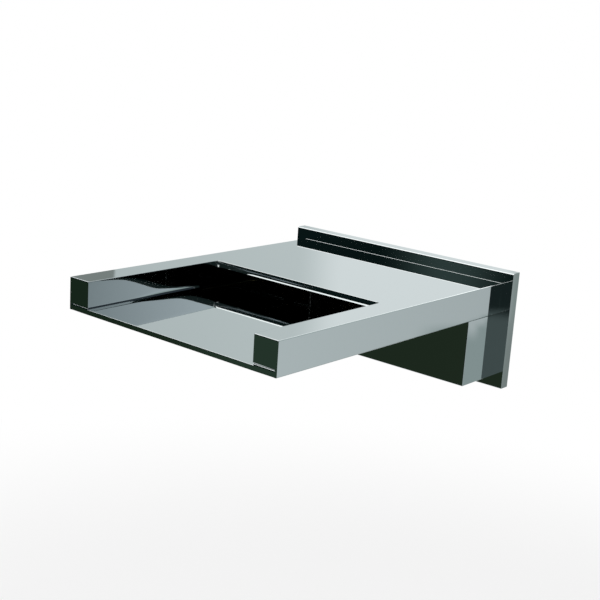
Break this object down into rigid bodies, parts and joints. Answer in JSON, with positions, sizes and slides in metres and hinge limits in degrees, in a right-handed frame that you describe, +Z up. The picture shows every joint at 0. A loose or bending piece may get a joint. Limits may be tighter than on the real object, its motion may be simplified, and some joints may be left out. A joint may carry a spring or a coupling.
{
  "type": "wall-mounted waterfall bath spout",
  "caption": "Wide flat bath spout with an open trough in front, a deck over a hidden water way, a full-width housing below and a rectangular wall plate.",
  "frame": {"origin": "on the axis of the water inlet, in the plane of the wall", "axes": "+Z up, X along the wall, +Y into the wall, so the spout points towards -Y"},
  "size_m": [0.164, 0.215, 0.0695],
  "materials": {
    "polished_chrome": "mirror-polished chrome plate",
    "brass": "machined brass",
    "stainless": "rolled stainless steel",
    "rubber": "matt black rubber",
    "white_plastic": "moulded plastic"
  },
  "bodies": {
    "root": {"top_shell": "polished_chrome", "cheek_left": "polished_chrome", "cheek_right": "polished_chrome", "rail_cap_left": "polished_chrome", "rail_cap_right": "polished_chrome", "floor_plate": "polished_chrome", "centre_rib": "polished_chrome", "diffuser_plate": "stainless", "housing_shell": "polished_chrome", "baffle_plate": "stainless", "rear_plate": "brass", "inlet_socket": "brass", "boss_left": "brass", "boss_right": "brass", "wall_plate": "polished_chrome", "wall_gasket": "rubber", "wall_bracket": "stainless", "stud_left": "stainless", "stud_right": "stainless", "set_screws": "stainless", "inlet_adapter": "brass", "o_rings": "rubber", "inlet_strainer": "white_plastic"}
  },
  "joints": []
}
